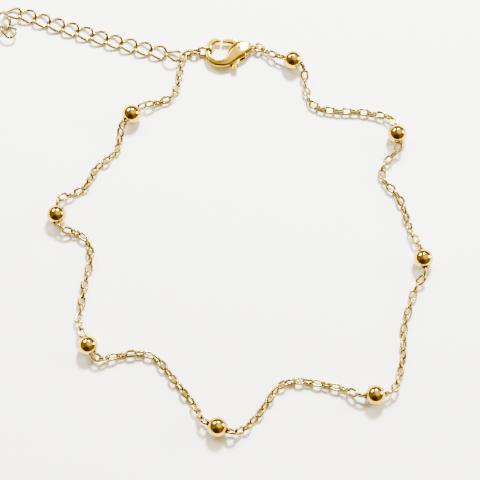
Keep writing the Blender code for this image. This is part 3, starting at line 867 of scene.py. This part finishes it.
def gold(name, plate):
    """Polished plate: its colour deepens in soft clouds, with fine polishing marks and slight waves."""
    material = bpy.data.materials.new(name)
    finish = Finish(material)
    place = finish.node("ShaderNodeTexCoord", {}, {}, "Object")
    clouds = finish.noise(place, CLOUD_SCALE, CLOUD_DETAIL)
    marks = finish.noise(place, MARK_SCALE, MARK_DETAIL)
    stops = list(zip(CLOUD_EDGES, (plate.deep, plate.colour)))
    tone = finish.node("ShaderNodeValToRGB", {"stops": stops}, {"Fac": clouds})
    bump = finish.node(
        "ShaderNodeBump",
        {},
        {"Height": clouds + MARK_HEIGHT * marks, "Strength": plate.relief, "Distance": BUMP_DEPTH},
    )
    roughness = plate.roughness + CLOUD_ROUGHNESS * (clouds - 0.5) + MARK_ROUGHNESS * (marks - 0.5)
    finish.shade_with("Principled BSDF", Base_Color=tone, Metallic=1.0, Roughness=roughness, Normal=bump)
    return material


def dress(piece, material, body, slot, *nodes):
    piece.data.materials.clear()
    piece.data.materials.append(material)
    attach(piece, body)
    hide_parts(*nodes)


# Table, light and camera


def table():
    bpy.ops.mesh.primitive_plane_add(size=TABLE_SIZE)
    top = named("table_top")
    material = bpy.data.materials.new("white_card")
    finish = Finish(material)
    place = finish.node("ShaderNodeTexCoord", {}, {}, "Object")
    grain = finish.noise(place, GRAIN_SCALE, GRAIN_DETAIL)
    tone = finish.node("ShaderNodeValToRGB", {"stops": TABLE_TONES}, {"Fac": grain})
    finish.shade_with("Principled BSDF", Base_Color=tone, Roughness=TABLE_ROUGHNESS)
    top.data.materials.append(material)


def soft_box(box):
    """An area light that faces the middle of the table."""
    light = bpy.data.lights.new(box.name, "AREA")
    light.shape = "RECTANGLE"
    light.size, light.size_y = box.size
    light.energy = box.power
    light.color = box.colour
    obj = bpy.data.objects.new(box.name, light)
    direction = toward(box.azimuth, box.elevation)
    obj.location = direction * SOFT_BOX_DISTANCE
    obj.rotation_euler = direction.to_track_quat("Z", "Y").to_euler()
    bpy.context.scene.collection.objects.link(obj)


def soft_patch(room, direction, patch, behind):
    """A soft round patch on the room's walls, over what is behind it."""
    place = toward(patch.azimuth, patch.elevation)
    dot = {"operation": "DOT_PRODUCT"}
    facing = room.node("ShaderNodeVectorMath", dot, {0: direction, 1: place}, "Value")
    outer, inner = (math.cos(math.radians(degrees)) for degrees in (patch.reach, patch.reach / 2))
    edge = room.node(
        "ShaderNodeMapRange",
        {"interpolation_type": "SMOOTHSTEP"},
        {"Value": facing, "From Min": outer, "From Max": inner},
    )
    return room.node("ShaderNodeMix", {"data_type": "RGBA"}, {0: edge, 6: behind, 7: (*patch.colour, 1)}, 2)


def studio():
    """Soft boxes at the back, the left and the right, in a dim warm room."""
    for box in SOFT_BOXES:
        soft_box(box)
    world = bpy.data.worlds.new("studio")
    bpy.context.scene.world = world
    room = Finish(world)
    direction = room.node("ShaderNodeTexCoord", {}, {}, "Generated")
    height = room.node("ShaderNodeSeparateXYZ", {}, {0: direction}, "Z")
    walls = room.node("ShaderNodeValToRGB", {"stops": WALL_TONES}, {"Fac": height})
    for patch in PATCHES:
        walls = soft_patch(room, direction, patch, walls)
    room.shade_with("Background", Color=walls, Strength=1.0)


def camera():
    data = bpy.data.cameras.new("camera")
    data.sensor_width = SENSOR
    data.lens = CAMERA_FOCAL_PIXELS / PHOTO_PIXELS * SENSOR
    data.clip_start = CLIP_START
    data.clip_end = CLIP_END
    lift = math.radians(CAMERA_ELEVATION)
    obj = bpy.data.objects.new("camera", data)
    target = Vector((SHIFT.x, SHIFT.y, 0))
    obj.location = target + CAMERA_DISTANCE * Vector((0, -math.cos(lift), math.sin(lift)))
    obj.rotation_euler = (math.pi / 2 - lift, 0, 0)
    bpy.context.scene.collection.objects.link(obj)
    bpy.context.scene.camera = obj


def main():
    bpy.ops.object.select_all(action="DESELECT")
    wire_gold = gold("pale_gold_wire_finish", WIRE_GOLD)
    bead_gold = gold("polished_gold_bead_finish", BEAD_GOLD)
    clasp_gold = gold("yellow_gold_clasp_finish", CLASP_GOLD)

    laid, chains = fine_links()
    for number, piece in enumerate(chains, 1):
        dress(piece, wire_gold, "anklet", "pale_gold_wire", f"chain_{number}")
    for number, piece in enumerate(beads(), 1):
        dress(piece, bead_gold, "anklet", "polished_gold_bead", f"bead_{number}")

    ring_reach = RING_DIAMETER / 2 - RING_WIRE
    ring = oval_link("jump_ring", ring_reach, RING_DIAMETER, RING_WIRE, HEAVY_FILL, HEAVY_STEPS)
    set_down(ring, Matrix.Translation(middle_of("clasp_ring")))
    dress(ring, wire_gold, "anklet", "pale_gold_wire", "clasp_ring")

    last_joints, last_rolls = laid[-1]
    end_reach = end_link_reach()
    end = oval_link("end_link_wire", end_reach, END_LINK_WIDTH, END_LINK_WIRE, HEAVY_FILL, HEAVY_STEPS)
    along = (last_joints[-1] - last_joints[-2]).normalized()
    left = last_joints[-1] - along * LINK_GAP
    set_down(end, link_matrix(left, left + Vector((2 * end_reach, 0, 0)), last_rolls[-1] + 90))
    dress(end, wire_gold, "anklet", "pale_gold_wire", "end_link")

    corner = (last_joints[CORNER_LINK - 1] + last_joints[CORNER_LINK]) / 2
    for number, piece in enumerate(extender_links(corner), 1):
        dress(piece, wire_gold, "anklet", "pale_gold_wire", f"extender_link_{number:02d}")

    pin_place = Matrix.Translation(middle_of("clasp_pin"))
    body = set_down(clasp_body(), pin_place)
    dress(body, clasp_gold, "anklet", "yellow_gold_clasp", "clasp_body")
    lever = set_down(clasp_lever(), pin_place)
    dress(lever, clasp_gold, "lever", "yellow_gold_clasp", "clasp_lever")
    pin = set_down(clasp_cylinder("clasp_rivet", PIN_DIAMETER, CLASP_THICKNESS, PIN_BEVEL), pin_place)
    shade(pin)
    dress(pin, wire_gold, "anklet", "pale_gold_wire", "clasp_pin")

    table()
    studio()
    camera()


main()
